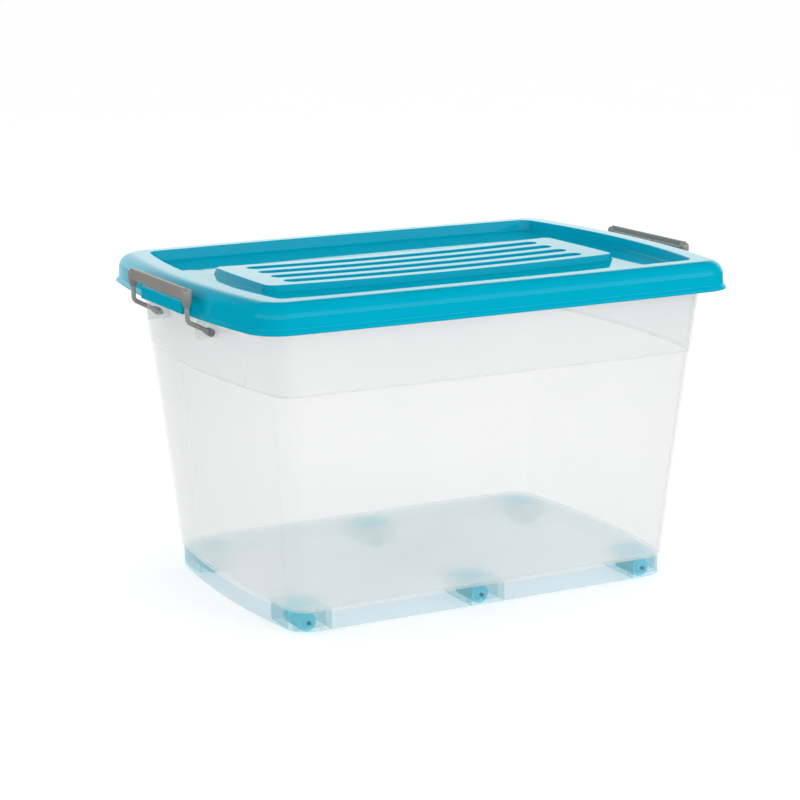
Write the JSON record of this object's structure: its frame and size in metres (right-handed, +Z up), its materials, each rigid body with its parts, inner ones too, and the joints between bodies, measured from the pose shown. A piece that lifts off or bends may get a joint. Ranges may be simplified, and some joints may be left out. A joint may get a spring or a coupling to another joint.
{
  "type": "under bed box",
  "caption": "Deep clear rolling storage box with tapered walls, a lift-off lid with a recessed tray and grooved panel, bail latches on both short ends and small rollers under the base.",
  "frame": {"origin": "on the floor under the middle of the closed box", "axes": "+X along the long side, +Y towards the back long side, +Z up"},
  "size_m": [0.6242, 0.4352, 0.3662],
  "materials": {
    "clear_tub": "clear polypropylene, faintly frosted, glossy below the shoulder",
    "blue_lid": "glossy cyan-blue moulded polypropylene",
    "latch_grip": "satin grey moulded plastic",
    "latch_wire": "satin grey coated steel wire",
    "blue_roller": "cyan-blue moulded plastic",
    "axle_pin": "plain steel pin"
  },
  "bodies": {
    "tub": {"tub": "clear_tub", "axle_front_left": "axle_pin", "axle_front_middle": "axle_pin", "axle_front_right": "axle_pin", "axle_back_left": "axle_pin", "axle_back_middle": "axle_pin", "axle_back_right": "axle_pin"},
    "lid": {"lid": "blue_lid"},
    "left_latch": {"left_latch_wire": "latch_wire", "left_latch_grip": "latch_grip", "left_latch_front_sleeve": "latch_grip", "left_latch_back_sleeve": "latch_grip"},
    "right_latch": {"right_latch_wire": "latch_wire", "right_latch_grip": "latch_grip", "right_latch_front_sleeve": "latch_grip", "right_latch_back_sleeve": "latch_grip"},
    "wheel_front_left": {"wheel_front_left": "blue_roller"},
    "wheel_front_middle": {"wheel_front_middle": "blue_roller"},
    "wheel_front_right": {"wheel_front_right": "blue_roller"},
    "wheel_back_left": {"wheel_back_left": "blue_roller"},
    "wheel_back_middle": {"wheel_back_middle": "blue_roller"},
    "wheel_back_right": {"wheel_back_right": "blue_roller"}
  },
  "joints": [
    {"name": "lid_lift", "type": "slide", "parent": "tub", "child": "lid", "axis": [0, 0, 1], "range_m": [0, 0.25]},
    {"name": "left_latch_swing", "type": "hinge", "parent": "tub", "child": "left_latch", "pos_m": [-0.2812, 0, 0.317], "axis": [0, -1, 0], "range_deg": [0, 130]},
    {"name": "right_latch_swing", "type": "hinge", "parent": "tub", "child": "right_latch", "pos_m": [0.2812, 0, 0.317], "axis": [0, 1, 0], "range_deg": [0, 130]},
    {"name": "wheel_front_left_spin", "type": "hinge", "parent": "tub", "child": "wheel_front_left", "pos_m": [-0.2083, -0.125, 0.0105], "axis": [0, 1, 0], "continuous": true},
    {"name": "wheel_front_middle_spin", "type": "hinge", "parent": "tub", "child": "wheel_front_middle", "pos_m": [0, -0.125, 0.0105], "axis": [0, 1, 0], "continuous": true},
    {"name": "wheel_front_right_spin", "type": "hinge", "parent": "tub", "child": "wheel_front_right", "pos_m": [0.2083, -0.125, 0.0105], "axis": [0, 1, 0], "continuous": true},
    {"name": "wheel_back_left_spin", "type": "hinge", "parent": "tub", "child": "wheel_back_left", "pos_m": [-0.2083, 0.125, 0.0105], "axis": [0, 1, 0], "continuous": true},
    {"name": "wheel_back_middle_spin", "type": "hinge", "parent": "tub", "child": "wheel_back_middle", "pos_m": [0, 0.125, 0.0105], "axis": [0, 1, 0], "continuous": true},
    {"name": "wheel_back_right_spin", "type": "hinge", "parent": "tub", "child": "wheel_back_right", "pos_m": [0.2083, 0.125, 0.0105], "axis": [0, 1, 0], "continuous": true}
  ]
}
